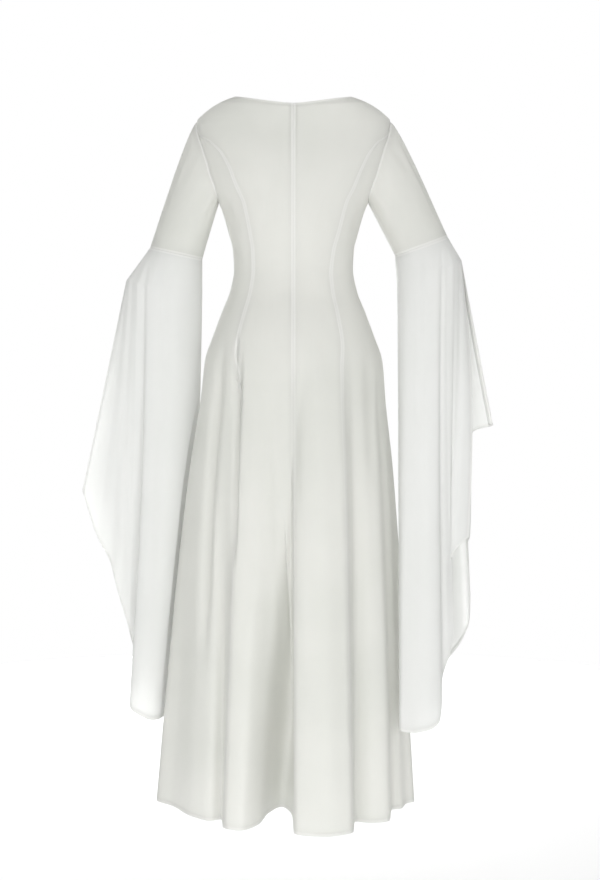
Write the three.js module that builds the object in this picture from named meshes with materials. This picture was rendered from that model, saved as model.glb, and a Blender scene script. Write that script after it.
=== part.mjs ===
// A plain long medieval style wedding dress, hollow as it is worn, its sleeves a little away from the sides.
// Seven full-length panels meet at princess, side and centre back seams and fall into a fluted skirt.
// Each sleeve is fitted to the elbow, where a long flared drape is sewn on, split down its outer side.
// Millimetres, +Z up, the back faces +Y, the wearer's left is +X, the origin lies between the shoulders.
import * as THREE from 'three';
import { mergeVertices } from 'three/addons/utils/BufferGeometryUtils.js';

// Driving dimensions
const wall = 2;
const seamGap = 0.3;
const tipGap = 0.36;
const neckEndHeight = 16;
const cornerHeight = -33;
const hemHeight = -1390;
const neckShare = 0.75;
const neckCurve = 1.4;
const squareness = 0.03;
const foldGrowth = 0.8;
const hipHeight = -465;
const columnsPerFold = 2;
const thickestMitre = 2;
const drapeClearance = 6;
const capRise = 5;

// Level sections of the dress without its folds: half its width, and its depth behind and in front
const sections = [
  { z: 16, half: 118, back: 50, front: 42 },
  { z: 8, half: 140, back: 58, front: 50 },
  { z: -2, half: 159, back: 64, front: 57 },
  { z: -18, half: 180, back: 74, front: 66 },
  { z: -33, half: 193, back: 82, front: 74 },
  { z: -63, half: 193, back: 94, front: 86 },
  { z: -100, half: 190, back: 103, front: 98 },
  { z: -140, half: 180, back: 107, front: 112 },
  { z: -170, half: 166, back: 106, front: 122 },
  { z: -196, half: 149, back: 103, front: 128 },
  { z: -226, half: 138, back: 98, front: 130 },
  { z: -258, half: 129, back: 91, front: 120 },
  { z: -290, half: 121, back: 83, front: 106 },
  { z: -330, half: 119, back: 76, front: 94 },
  { z: -370, half: 126, back: 81, front: 95 },
  { z: -414, half: 143, back: 98, front: 103 },
  { z: -462, half: 161, back: 117, front: 111 },
  { z: -510, half: 177, back: 128, front: 118 },
  { z: -582, half: 184, back: 134, front: 124 },
  { z: -726, half: 203, back: 138, front: 132 },
  { z: -998, half: 228, back: 140, front: 145 },
  { z: -1390, half: 257, back: 140, front: 160 },
];

// Heights of each row of the panels at the seam lines, and how much of the neck's corner the row still has
const rows = [
  { centreBack: -2, princess: -33, centreFront: -24, corner: 1 },
  { centreBack: -24, princess: -48, centreFront: -46, corner: 0.5 },
  { centreBack: -50, princess: -63, centreFront: -70, corner: 0.2 },
  { centreBack: -78, princess: -76, centreFront: -95, corner: 0.06 },
  { centreBack: -108, princess: -98, centreFront: -122, corner: 0 },
  { centreBack: -140, princess: -128, centreFront: -150, corner: 0 },
  { centreBack: -172, princess: -162, centreFront: -178, corner: 0 },
  { centreBack: -205, princess: -200, centreFront: -208, corner: 0 },
  ...[-240, -280, -325, -370, -415, -465, -510, -560, -640, -770, -950, -1160, hemHeight]
    .map((z) => ({ centreBack: z, princess: z, centreFront: z, corner: 0 })),
];

// The armhole, one row for each panel row: its turn from the centre line behind and in front, in degrees,
// and the turn round the elbow, from its outer side, that the sleeve's thread from there runs to
const armhole = [
  { z: cornerHeight, back: 90, front: 90, elbow: 0 },
  { z: -48, back: 82, front: 81, elbow: 14 },
  { z: -63, back: 75.5, front: 73, elbow: 32 },
  { z: -92, back: 66.5, front: 63.5, elbow: 60 },
  { z: -125, back: 63.5, front: 59, elbow: 90 },
  { z: -158, back: 64, front: 61, elbow: 120 },
  { z: -184, back: 71, front: 69, elbow: 148 },
  { z: -196, back: 90, front: 90, elbow: 180 },
];
const splitRow = 2;
const underarmRow = armhole.length - 1;

// Turns of the princess seams from the centre line, in degrees, from the armhole to the hem
const backPrincessLeft = [
  { z: -63, turn: 75.5 }, { z: -76, turn: 57 }, { z: -104, turn: 45.5 }, { z: -142, turn: 40.5 },
  { z: -190, turn: 39.5 }, { z: -330, turn: 40 }, { z: -460, turn: 41 }, { z: -520, turn: 37.5 },
  { z: -600, turn: 35 }, { z: -900, turn: 36 }, { z: hemHeight, turn: 38.5 },
];
const backPrincessRight = [
  { z: -63, turn: 75.5 }, { z: -78, turn: 58 }, { z: -112, turn: 48 }, { z: -154, turn: 44 },
  { z: -240, turn: 42.5 }, { z: -330, turn: 37.5 }, { z: -460, turn: 35 }, { z: -520, turn: 31.5 },
  { z: hemHeight, turn: 31.5 },
];
const frontPrincess = [
  { z: -63, turn: 73 }, { z: -78, turn: 57 }, { z: -110, turn: 46 }, { z: -160, turn: 39 },
  { z: -230, turn: 36 }, { z: -330, turn: 38 }, { z: -460, turn: 40 }, { z: hemHeight, turn: 41 },
];

// The hem line, round from the centre back by the wearer's left: each ridge, hollow and edge of the flutes,
// with the height that it grows from, and how many rows of the table further round the line of the hem is
// whose folds hang there at the hips
const folds = [
  { fold: 'centre back', x: -2, y: 203, from: -660, lean: 0 },
  { fold: 'recess side', x: 3, y: 98, from: -820, lean: 4.2 },
  { fold: 'recess', x: 24, y: 44, from: -860, lean: 3.7 },
  { fold: 'flute edge', x: 50, y: 88, from: -800, lean: 2.8 },
  { fold: 'flute rise', x: 66, y: 150, from: -760, lean: 1.85 },
  { fold: 'left flute', x: 100, y: 188, from: -640, lean: 0.9 },
  { fold: 'left princess', x: 133, y: 170, from: -475, lean: 0 },
  { fold: 'fold behind it', x: 140, y: 120, from: -760, lean: 1.0 },
  { fold: 'shaded flute', x: 160, y: 131, from: -700, lean: 1.6 },
  { fold: 'shaded fall', x: 199, y: 101, from: -640, lean: 1.5 },
  { fold: 'side hollow', x: 238, y: 40, from: -560, lean: 0.7 },
  { fold: 'left side', x: 274, y: 0, from: -520, lean: 0 },
  { fold: 'left front ridge', x: 250, y: -46, from: -540, lean: 0 },
  { fold: 'left front hollow', x: 206, y: -68, from: -560, lean: 0 },
  { fold: 'left front flute', x: 190, y: -134, from: -520, lean: 0 },
  { fold: 'left front rise', x: 152, y: -156, from: -520, lean: 0 },
  { fold: 'front left princess', x: 122, y: -116, from: -560, lean: 0 },
  { fold: 'front left flute', x: 106, y: -166, from: -540, lean: 0 },
  { fold: 'front left ridge', x: 70, y: -206, from: -500, lean: 0 },
  { fold: 'front left hollow', x: 34, y: -186, from: -520, lean: 0 },
  { fold: 'centre front', x: 2, y: -166, from: -560, lean: 0 },
  { fold: 'front right hollow', x: -32, y: -184, from: -520, lean: 0 },
  { fold: 'front right ridge', x: -72, y: -210, from: -490, lean: 0 },
  { fold: 'front right flute', x: -104, y: -168, from: -540, lean: 0 },
  { fold: 'front right princess', x: -120, y: -114, from: -560, lean: 0 },
  { fold: 'right front rise', x: -148, y: -152, from: -520, lean: 0 },
  { fold: 'right front flute', x: -186, y: -138, from: -520, lean: 0 },
  { fold: 'right front hollow', x: -202, y: -76, from: -560, lean: 0 },
  { fold: 'right front ridge', x: -228, y: -44, from: -540, lean: 0 },
  { fold: 'right side', x: -241, y: 6, from: -520, lean: 0 },
  { fold: 'side step', x: -224, y: 24, from: -560, lean: 0 },
  { fold: 'narrow flute', x: -212, y: 55, from: -520, lean: 0 },
  { fold: 'narrow hollow', x: -194, y: 62, from: -520, lean: 0 },
  { fold: 'right flute edge', x: -185, y: 130, from: -550, lean: 0 },
  { fold: 'right flute', x: -151, y: 143, from: -500, lean: 0 },
  { fold: 'fold behind the edge', x: -119, y: 134, from: -470, lean: 0 },
  { fold: 'right princess', x: -113, y: 196, from: -465, lean: 0 },
  { fold: 'middle flute edge', x: -94, y: 212, from: -465, lean: 0 },
  { fold: 'middle flute', x: -62, y: 223, from: -470, lean: 0 },
  { fold: 'middle flute side', x: -27, y: 219, from: -520, lean: 0 },
];

// Rings of each sleeve at the elbow and where the drape opens: the middle, half the width, the slope of
// that width and half the depth
const sleeves = [
  {
    side: 'left', sign: 1,
    elbow: { x: 235.5, y: -15, z: -296.5, half: 53.7, slope: 12.4, depth: 46 },
    opening: { x: 260, y: -20, z: -368, half: 78, slope: 12, depth: 50 },
  },
  {
    side: 'right', sign: -1,
    elbow: { x: 254, y: 24, z: -283, half: 55.4, slope: 20, depth: 46 },
    opening: { x: 268.5, y: 32, z: -331, half: 67.2, slope: 16.5, depth: 50 },
  },
];

// The lower edge of each drape, from the back edge of its split round by the body to the front edge.
// Each row has its turns round the elbow and the opening, from the outer side by the back, where the edge
// hangs, and how far the thread to it bows out
const leftDrape = [
  { point: 'back corner', elbow: 2, opening: 0, x: 421, y: 10, z: -770, bow: 0 },
  { point: 'back edge', elbow: 8, opening: 14, x: 393, y: 17, z: -856, bow: 0 },
  { point: 'back rise', elbow: 13, opening: 28, x: 365, y: 14, z: -912, bow: 0 },
  { point: 'back fall', elbow: 18, opening: 40, x: 347, y: 5, z: -984, bow: 0 },
  { point: 'back fold', elbow: 23, opening: 50, x: 330, y: -8, z: -1052, bow: 0 },
  { point: 'groove', elbow: 29, opening: 60, x: 316, y: -12, z: -1120, bow: -4 },
  { point: 'flute edge', elbow: 37, opening: 70, x: 327, y: 10, z: -1197, bow: -4 },
  { point: 'flute', elbow: 70, opening: 88, x: 305, y: 20, z: -1216, bow: -2 },
  { point: 'flute middle', elbow: 104, opening: 110, x: 282, y: 12, z: -1227, bow: -6 },
  { point: 'flute turn', elbow: 140, opening: 140, x: 262, y: -12, z: -1229, bow: -12 },
  { point: 'inner fold', elbow: 175, opening: 176, x: 250, y: -40, z: -1226, bow: -18 },
  { point: 'inner front', elbow: 205, opening: 205, x: 266, y: -58, z: -1212, bow: -10 },
  { point: 'front hollow', elbow: 235, opening: 235, x: 292, y: -54, z: -1170, bow: 0 },
  { point: 'front flute', elbow: 262, opening: 262, x: 322, y: -76, z: -1100, bow: 0 },
  { point: 'front dip', elbow: 290, opening: 290, x: 344, y: -60, z: -1010, bow: 0 },
  { point: 'front rise', elbow: 315, opening: 315, x: 366, y: -68, z: -910, bow: 0 },
  { point: 'front edge', elbow: 336, opening: 338, x: 384, y: -52, z: -820, bow: 0 },
  { point: 'front corner', elbow: 358, opening: 360, x: 398, y: -44, z: -742, bow: 0 },
];
const rightDrape = [
  { point: 'back corner', elbow: 2, opening: 0, x: 345, y: 54, z: -856, bow: 14 },
  { point: 'back edge', elbow: 10, opening: 16, x: 314, y: 64, z: -886, bow: 10 },
  { point: 'back rise', elbow: 19, opening: 30, x: 299, y: 58, z: -936, bow: 6 },
  { point: 'back fall', elbow: 28, opening: 44, x: 306, y: 48, z: -992, bow: 0 },
  { point: 'back fold', elbow: 37, opening: 56, x: 316, y: 56, z: -1048, bow: -4 },
  { point: 'groove', elbow: 46, opening: 68, x: 298, y: 68, z: -1120, bow: -4 },
  { point: 'flute edge', elbow: 60, opening: 82, x: 285, y: 88, z: -1212, bow: -2 },
  { point: 'flute', elbow: 84, opening: 100, x: 258, y: 98, z: -1226, bow: 0 },
  { point: 'flute middle', elbow: 112, opening: 118, x: 230, y: 98, z: -1230, bow: 0 },
  { point: 'flute turn', elbow: 145, opening: 145, x: 206, y: 90, z: -1226, bow: 0 },
  { point: 'inner fold', elbow: 172, opening: 172, x: 206, y: 70, z: -1222, bow: 0 },
  { point: 'inner front', elbow: 195, opening: 195, x: 230, y: 58, z: -1210, bow: 0 },
  { point: 'front hollow', elbow: 220, opening: 220, x: 256, y: 30, z: -1184, bow: 0 },
  { point: 'front turn', elbow: 245, opening: 245, x: 284, y: 2, z: -1150, bow: 0 },
  { point: 'front flute', elbow: 268, opening: 268, x: 312, y: -14, z: -1110, bow: 4 },
  { point: 'front dip', elbow: 290, opening: 290, x: 344, y: -4, z: -1056, bow: 6 },
  { point: 'front fall', elbow: 308, opening: 308, x: 355, y: -22, z: -980, bow: 6 },
  { point: 'front rise', elbow: 324, opening: 324, x: 351, y: -8, z: -868, bow: 6 },
  { point: 'front edge', elbow: 341, opening: 342, x: 358, y: -22, z: -660, bow: 4 },
  { point: 'front corner', elbow: 358, opening: 360, x: 401, y: -18, z: -642, bow: 0 },
];
const sleeveSteps = [0, 0.18, 0.28, 0.4, 0.52, 0.68, 0.84, 1];
const closedSteps = [0, 0.35, 0.7, 1];
const hangingSteps = [0.1, 0.22, 0.36, 0.52, 0.68, 0.84, 1];

const cloth = { roughness: 0.85, metalness: 0 };
const colours = { bodice: 0xdfe0db, skirt: 0xe6e7e3, drape: 0xebece9 };

const mix = (a, b, t) => a + (b - a) * t;
const radians = THREE.MathUtils.degToRad;
const degrees = THREE.MathUtils.radToDeg;

// Slope of a smooth curve between two neighbouring steps, level at every ridge and hollow
function easySlope(before, after) {
  return before * after > 0 ? (2 * before * after) / (before + after) : 0;
}

function smoothBetween(a, b, slopeA, slopeB, width, t) {
  const bend = t * t * (3 - 2 * t);
  return mix(a, b, bend) + width * (t * (1 - t) ** 2 * slopeA - t * t * (1 - t) * slopeB);
}

// The value of a table's column at place, read smoothly between the rows
function read(table, placeOf, column, place) {
  const last = table.length - 1;
  const rising = placeOf(table[last], last) > placeOf(table[0], 0);
  let i = 0;
  while (i < last - 1 && (placeOf(table[i + 1], i + 1) < place) === rising) i += 1;
  const step = (k) => placeOf(table[k + 1], k + 1) - placeOf(table[k], k);
  const slope = (k) => (table[k + 1][column] - table[k][column]) / step(k);
  const here = slope(i);
  const slopeA = i > 0 ? easySlope(slope(i - 1), here) : here;
  const slopeB = i < last - 1 ? easySlope(here, slope(i + 1)) : here;
  const t = THREE.MathUtils.clamp((place - placeOf(table[i], i)) / step(i), 0, 1);
  return smoothBetween(table[i][column], table[i + 1][column], slopeA, slopeB, step(i), t);
}

const byHeight = (row) => row.z;
const byIndex = (row, index) => index;

// A point of the dress without folds, turned by an angle from its centre back or centre front line
function plainPoint(face, sign, turn, z) {
  const angle = radians(turn);
  const swell = 1 + squareness * Math.sin(2 * angle) ** 2;
  const half = read(sections, byHeight, 'half', z);
  const depth = read(sections, byHeight, face, z);
  const outwards = face === 'back' ? 1 : -1;
  return new THREE.Vector3(
    sign * half * swell * Math.sin(angle), outwards * depth * swell * Math.cos(angle), z,
  );
}

// A value of the closed hem table at a place round it, read smoothly
function hemValue(column, place) {
  const count = folds.length;
  const at = (k) => folds[((k % count) + count) % count][column];
  const i = Math.floor(place);
  const here = at(i + 1) - at(i);
  const slopeA = easySlope(at(i) - at(i - 1), here);
  const slopeB = easySlope(here, at(i + 2) - at(i + 1));
  return smoothBetween(at(i), at(i + 1), slopeA, slopeB, 1, place - i);
}

const foldPlace = (name) => folds.findIndex((row) => row.fold === name);

// The half panels: which face, side, seam lines and part of the hem each one has, from the centre outwards
function halfPanel(face, sign, princess, inner, outer) {
  return { face, sign, princess, inner, outer };
}

// Turn and height of a middle panel at a share of its width, from the centre line to its outer edge
function middlePlace(half, share, row) {
  const centre = half.face === 'back' ? 'centreBack' : 'centreFront';
  const start = read(rows, byIndex, centre, row);
  const corner = read(rows, byIndex, 'corner', row);
  const onArmhole = row <= splitRow;
  const z = onArmhole ? read(armhole, byIndex, 'z', row) : read(rows, byIndex, 'princess', row);
  const turn = onArmhole
    ? read(armhole, byIndex, half.face, row)
    : read(half.princess, byHeight, 'turn', z);
  const neckStart = rows[0][centre];
  const along = Math.min(share / neckShare, 1);
  const down = Math.max(0, (share - neckShare) / (1 - neckShare));
  const reach = Math.sin(radians(90 * along));
  const neckEdge = mix(neckStart, neckEndHeight, reach ** neckCurve);
  const neckTurn = degrees(Math.asin(reach * sections[0].half / read(sections, byHeight, 'half', neckEdge)));
  const neckZ = mix(neckEdge, cornerHeight, down);
  return {
    turn: mix(0, turn, share) + corner * (neckTurn - 90 * share),
    z: mix(start, z, share) + corner * (neckZ - mix(neckStart, cornerHeight, share)),
  };
}

// Turn and height of a side panel at a share of its width, from the princess seam to the armhole or side
function sidePlace(half, share, row) {
  const innerZ = row <= splitRow ? armhole[splitRow].z : read(rows, byIndex, 'princess', row);
  const innerTurn = read(half.princess, byHeight, 'turn', innerZ);
  const onArmhole = row <= underarmRow;
  const outerZ = onArmhole ? read(armhole, byIndex, 'z', row) : read(rows, byIndex, 'princess', row);
  const outerTurn = onArmhole ? read(armhole, byIndex, half.face, row) : 90;
  return { turn: mix(innerTurn, outerTurn, share), z: mix(innerZ, outerZ, share) };
}

// The plain point at a place of a half panel, moved to its flute below the hips
function panelPoint(half, placeOf, share, row) {
  const { turn, z } = placeOf(half, share, row);
  const point = plainPoint(half.face, half.sign, turn, z);
  if (z >= hipHeight) return point;
  const across = mix(half.inner, half.outer, share);
  const around = across + hemValue('lean', across) * (z - hemHeight) / (hipHeight - hemHeight);
  const from = hemValue('from', around);
  if (z >= from) return point;
  const atHem = placeOf(half, (around - half.inner) / (half.outer - half.inner), rows.length - 1);
  const plainHem = plainPoint(half.face, half.sign, atHem.turn, hemHeight);
  const growth = ((from - z) / (from - hemHeight)) ** foldGrowth;
  point.x += growth * (hemValue('x', around) - plainHem.x);
  point.y += growth * (hemValue('y', around) - plainHem.y);
  return point;
}

// The grid of a panel, its columns running from the centre back round by the left
function panelGrid(halves, placeOf, firstRow) {
  const grid = [];
  for (let row = firstRow; row < rows.length; row += 1) {
    const line = [];
    halves.forEach((half, index) => {
      const count = Math.abs(half.outer - half.inner) * columnsPerFold;
      const backwards = (half.face === 'back') === (half.sign < 0);
      for (let k = index === 0 ? 0 : 1; k <= count; k += 1) {
        const share = backwards ? 1 - k / count : k / count;
        line.push(panelPoint(half, placeOf, share, row));
      }
    });
    grid.push(line);
  }
  return grid;
}

function ringPoint(sleeve, ring, turn) {
  const angle = radians(turn);
  const slope = radians(ring.slope);
  const across = ring.half * Math.cos(angle);
  return new THREE.Vector3(
    sleeve.sign * (ring.x + across * Math.cos(slope)),
    ring.y + ring.depth * Math.sin(angle),
    ring.z + across * Math.sin(slope),
  );
}

// The armhole round from the shoulder by the back, with a point halfway along each step
function armholeLoop(sleeve) {
  const corners = [];
  for (let k = 0; k <= underarmRow; k += 1) {
    const { z, back, elbow } = armhole[k];
    corners.push({ point: plainPoint('back', sleeve.sign, back, z), elbow });
  }
  for (let k = underarmRow - 1; k > 0; k -= 1) {
    const { z, front, elbow } = armhole[k];
    corners.push({ point: plainPoint('front', sleeve.sign, front, z), elbow: 360 - elbow });
  }
  return corners.flatMap((corner, k) => {
    const next = corners[(k + 1) % corners.length];
    const nextElbow = k + 1 === corners.length ? 360 : next.elbow;
    const halfway = corner.point.clone().lerp(next.point, 0.5);
    return [corner, { point: halfway, elbow: (corner.elbow + nextElbow) / 2 }];
  });
}

function upperSleeveGrid(sleeve) {
  const loop = armholeLoop(sleeve);
  return sleeveSteps.map((step) => loop.map(({ point, elbow }) => {
    const end = ringPoint(sleeve, sleeve.elbow, elbow);
    const rise = capRise * Math.sin(Math.PI * Math.sqrt(step)) * Math.cos(radians(elbow / 2)) ** 4;
    const place = point.clone().lerp(end, step);
    return place.add(new THREE.Vector3(sleeve.sign * rise, 0, rise));
  }));
}

// How far the skirt reaches to one side at a depth and height
function skirtReach(sign, y, z) {
  const line = skirtSection(z);
  let reach = 0;
  line.forEach((point, k) => {
    const next = line[(k + 1) % line.length];
    if ((point.y - y) * (next.y - y) > 0 || point.y === next.y) return;
    const x = mix(point.x, next.x, (y - point.y) / (next.y - point.y));
    reach = Math.max(reach, sign * x);
  });
  return reach;
}

const sectionStore = new Map();

// The skirt's level section at a height, a point for each column of each panel
function skirtSection(z) {
  if (!sectionStore.has(z)) {
    const line = [];
    for (const { halves, placeOf } of panels) {
      for (const half of halves) {
        const count = Math.abs(half.outer - half.inner) * columnsPerFold;
        for (let k = 0; k <= count; k += 1) {
          const backwards = (half.face === 'back') === (half.sign < 0);
          const share = backwards ? 1 - k / count : k / count;
          line.push(panelPoint(half, placeOf, share, rowAt(z)));
        }
      }
    }
    sectionStore.set(z, line);
  }
  return sectionStore.get(z);
}

// The row number at a height below the underarm
function rowAt(z) {
  let low = underarmRow + 1;
  let high = rows.length - 1;
  for (let k = 0; k < 30; k += 1) {
    const middle = (low + high) / 2;
    if (read(rows, byIndex, 'princess', middle) > z) low = middle;
    else high = middle;
  }
  return low;
}

function keepClear(sleeve, point) {
  if (point.z < rows[underarmRow + 2].princess) {
    const reach = skirtReach(sleeve.sign, point.y, Math.round(point.z));
    point.x = sleeve.sign * Math.max(sleeve.sign * point.x, reach + drapeClearance);
  }
  return point;
}

// The grid of a drape: a closed stretch below the elbow, then threads that hang to the lower edge
function drapeGrid(sleeve, table) {
  const columns = (table.length - 1) * columnsPerFold;
  const grid = [];
  const threads = Array.from({ length: columns + 1 }, (_, k) => {
    const place = k / columnsPerFold;
    const value = (column) => read(table, byIndex, column, place);
    return {
      top: ringPoint(sleeve, sleeve.elbow, (value('elbow') - 2) * (360 / 356)),
      open: ringPoint(sleeve, sleeve.opening, value('opening')),
      end: new THREE.Vector3(sleeve.sign * value('x'), value('y'), value('z')),
      bow: value('bow'),
    };
  });
  for (const step of closedSteps) {
    grid.push(threads.map(({ top, open }) => top.clone().lerp(open, step)));
  }
  for (const step of hangingSteps) {
    grid.push(threads.map(({ open, end, bow }) => {
      const place = open.clone().lerp(end, step);
      place.x += sleeve.sign * bow * Math.sin(Math.PI * step);
      return keepClear(sleeve, place);
    }));
  }
  return grid;
}

const leftBack = ['centre back', 'left princess'].map(foldPlace);
const leftSideBack = ['left princess', 'left side'].map(foldPlace);
const leftSideFront = ['front left princess', 'left side'].map(foldPlace);
const leftFront = ['centre front', 'front left princess'].map(foldPlace);
const rightFront = ['centre front', 'front right princess'].map(foldPlace);
const rightSideFront = ['front right princess', 'right side'].map(foldPlace);
const rightSideBack = ['right princess', 'right side'].map(foldPlace);
const rightBack = [folds.length, foldPlace('right princess')];

const panels = [
  {
    name: 'center_back_left', colour: colours.bodice, placeOf: middlePlace, firstRow: 0,
    halves: [halfPanel('back', 1, backPrincessLeft, ...leftBack)],
  },
  {
    name: 'side_back_left', colour: colours.skirt, placeOf: sidePlace, firstRow: splitRow,
    halves: [halfPanel('back', 1, backPrincessLeft, ...leftSideBack)],
  },
  {
    name: 'side_front_left', colour: colours.bodice, placeOf: sidePlace, firstRow: splitRow,
    halves: [halfPanel('front', 1, frontPrincess, ...leftSideFront)],
    armholeAtStart: true,
  },
  {
    name: 'center_front', colour: colours.skirt, placeOf: middlePlace, firstRow: 0,
    halves: [
      halfPanel('front', 1, frontPrincess, ...leftFront),
      halfPanel('front', -1, frontPrincess, ...rightFront),
    ],
  },
  {
    name: 'side_front_right', colour: colours.bodice, placeOf: sidePlace, firstRow: splitRow,
    halves: [halfPanel('front', -1, frontPrincess, ...rightSideFront)],
  },
  {
    name: 'side_back_right', colour: colours.skirt, placeOf: sidePlace, firstRow: splitRow,
    halves: [halfPanel('back', -1, backPrincessRight, ...rightSideBack)],
    armholeAtStart: true,
  },
  {
    name: 'center_back_right', colour: colours.bodice, placeOf: middlePlace, firstRow: 0,
    halves: [halfPanel('back', -1, backPrincessRight, ...rightBack)],
  },
];

// Every piece as a grid of points on its outer face, whose columns and rows turn so that it faces out
function makePieces() {
  const pieces = panels.map((panel) => ({
    name: panel.name,
    colour: panel.colour,
    grid: panelGrid(panel.halves, panel.placeOf, panel.firstRow),
    seams: { start: true, end: true },
    closed: false,
    armholeAtStart: panel.armholeAtStart,
  }));
  for (const sleeve of sleeves) {
    const order = (line) => (sleeve.sign > 0 ? [...line].reverse() : line);
    pieces.push({
      name: `upper_sleeve_${sleeve.side}`,
      colour: colours.bodice,
      grid: upperSleeveGrid(sleeve).map(order),
      seams: { top: true, bottom: true },
      closed: true,
      sleeve,
    });
    pieces.push({
      name: `sleeve_drape_${sleeve.side}`,
      colour: colours.drape,
      grid: drapeGrid(sleeve, sleeve.sign > 0 ? leftDrape : rightDrape).map(order),
      seams: { top: true },
      closed: false,
      sleeve,
    });
  }
  return pieces;
}

const keyOf = (point) => [point.x, point.y, point.z].map((value) => Math.round(value * 50)).join(' ');

function quadsOf(piece) {
  const quads = [];
  const { grid, closed } = piece;
  const columns = grid[0].length;
  for (let r = 0; r + 1 < grid.length; r += 1) {
    for (let c = 0; c + (closed ? 0 : 1) < columns; c += 1) {
      quads.push([r, c, r + 1, (c + 1) % columns]);
    }
  }
  return quads;
}

// The way in from the outer face at each point, shared by the pieces that meet there, so that their walls
// end on one plane. A sharp corner is mitred up to a limit
function inwardSteps(pieces) {
  const meetings = new Map();
  const addFace = (corners) => {
    const [a, b, c] = corners;
    const normal = b.clone().sub(a).cross(c.clone().sub(a));
    for (const corner of corners) {
      const key = keyOf(corner);
      if (!meetings.has(key)) meetings.set(key, { sum: new THREE.Vector3(), faces: [] });
      meetings.get(key).sum.add(normal);
      meetings.get(key).faces.push(normal);
    }
  };
  for (const piece of pieces) {
    for (const [r, c, nextR, nextC] of quadsOf(piece)) {
      const { grid } = piece;
      addFace([grid[r][c], grid[r][nextC], grid[nextR][nextC]]);
      addFace([grid[r][c], grid[nextR][nextC], grid[nextR][c]]);
    }
  }
  const steps = new Map();
  for (const [key, { sum, faces }] of meetings) {
    const outward = sum.clone().normalize();
    const total = faces.reduce((all, face) => all + face.length(), 0);
    const facing = faces.reduce((all, face) => all + face.dot(outward), 0) / total;
    steps.set(key, outward.multiplyScalar(wall * Math.min(1 / facing, thickestMitre)));
  }
  return steps;
}

// Keeps a step inside the flat plane of the shoulder seam or of an elbow ring
function intoPlane(step, planeNormal) {
  const length = step.length();
  step.addScaledVector(planeNormal, -step.dot(planeNormal));
  return step.setLength(length);
}

function elbowAxis(sleeve) {
  const slope = radians(sleeve.elbow.slope);
  return new THREE.Vector3(-sleeve.sign * Math.sin(slope), 0, Math.cos(slope));
}

function stepAt(piece, steps, r, c) {
  const point = piece.grid[r][c];
  const step = steps.get(keyOf(point)).clone();
  if (Math.abs(point.y) < 1e-6 && point.z >= cornerHeight) return intoPlane(step, new THREE.Vector3(0, 1, 0));
  const onElbow = piece.sleeve && (piece.closed ? r === piece.grid.length - 1 : r === 0);
  return onElbow ? intoPlane(step, elbowAxis(piece.sleeve)) : step;
}

// Sets each value between two corners of the armhole halfway, as the panels' straight edges are there
function straightenArmhole(sleeve, line) {
  for (let m = sleeve.sign > 0 ? 0 : 1; m < line.length; m += 2) {
    const before = line[(m + line.length - 1) % line.length];
    line[m].copy(before).lerp(line[(m + 1) % line.length], 0.5);
  }
}

function stepGrid(piece, steps) {
  const grid = piece.grid.map((line, r) => line.map((point, c) => stepAt(piece, steps, r, c)));
  if (piece.closed) straightenArmhole(piece.sleeve, grid[0]);
  return grid;
}

// Half the seam gap at a point, across the edge that comes to it and the edge that leaves it
function gapStep(before, point, after, step) {
  const acrossOf = (from, to) => to.clone().sub(from).cross(step).normalize();
  const coming = acrossOf(before, point);
  const leaving = acrossOf(point, after);
  const sum = coming.clone().add(leaving);
  return sum.multiplyScalar(seamGap / 2 / Math.max(coming.dot(leaving) + 1, 0.5));
}

function movedOffSeams(piece, steps) {
  const { grid, seams, closed } = piece;
  const lastRow = grid.length - 1;
  const lastColumn = grid[0].length - 1;
  const at = (r, c) => (closed
    ? grid[r][(c + lastColumn + 1) % (lastColumn + 1)]
    : grid[THREE.MathUtils.clamp(r, 0, lastRow)][THREE.MathUtils.clamp(c, 0, lastColumn)]);
  const tip = grid[0].every((point) => point.distanceTo(grid[0][0]) < 1e-6);
  const shoulder = new THREE.Vector3(0, 1, 0);
  return grid.map((line, r) => line.map((point, c) => {
    const moved = point.clone();
    if (tip && r === 0) {
      const middle = grid[1][Math.round(lastColumn / 2)];
      return moved.addScaledVector(middle.clone().sub(point).normalize(), tipGap);
    }
    const gap = (before, after) => moved.add(gapStep(before, point, after, steps[r][c]));
    if (seams.start && c === 0) gap(at(r - 1, c), at(r + 1, c));
    if (seams.end && c === lastColumn) gap(at(r + 1, c), at(r - 1, c));
    if (seams.top && r === 0) gap(at(r, c + 1), at(r, c - 1));
    if (seams.bottom && r === lastRow) gap(at(r, c - 1), at(r, c + 1));
    const onShoulder = !piece.sleeve && r === 0 && Math.abs(point.y) < 1e-6;
    if (onShoulder) moved.addScaledVector(shoulder, Math.sign(at(1, c).y) * (seamGap / 2));
    return moved;
  }));
}

// The two edges of a drape lie together above the split, half a gap to each side of the line between them
function partDrapeEdges(piece, outer) {
  for (let r = 0; r < closedSteps.length; r += 1) {
    const line = outer[r];
    const along = line[1].clone().sub(line[line.length - 2]).normalize();
    line[0].addScaledVector(along, seamGap / 2);
    line[line.length - 1].addScaledVector(along, -seamGap / 2);
  }
}

// The edge of a sleeve at the armhole, cut along the same diagonals as the edges of the panels it meets:
// from the inner face at the upper of two corners to the outer face at the lower one
function armholeEdge(sleeve, outer, inner, triangle) {
  const first = sleeve.sign > 0 ? 1 : 0;
  for (let k = first; k < outer.length; k += 2) {
    const [i, m, j] = [k, k + 1, k + 2].map((place) => place % outer.length);
    if (outer[i].z > outer[j].z) {
      triangle(inner[i], inner[m], outer[j]);
      triangle(inner[m], inner[j], outer[j]);
      triangle(inner[i], outer[j], outer[m]);
      triangle(inner[i], outer[m], outer[i]);
    } else {
      triangle(inner[i], inner[m], outer[i]);
      triangle(inner[m], inner[j], outer[i]);
      triangle(inner[j], outer[j], outer[m]);
      triangle(inner[j], outer[m], outer[i]);
    }
  }
}

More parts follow.
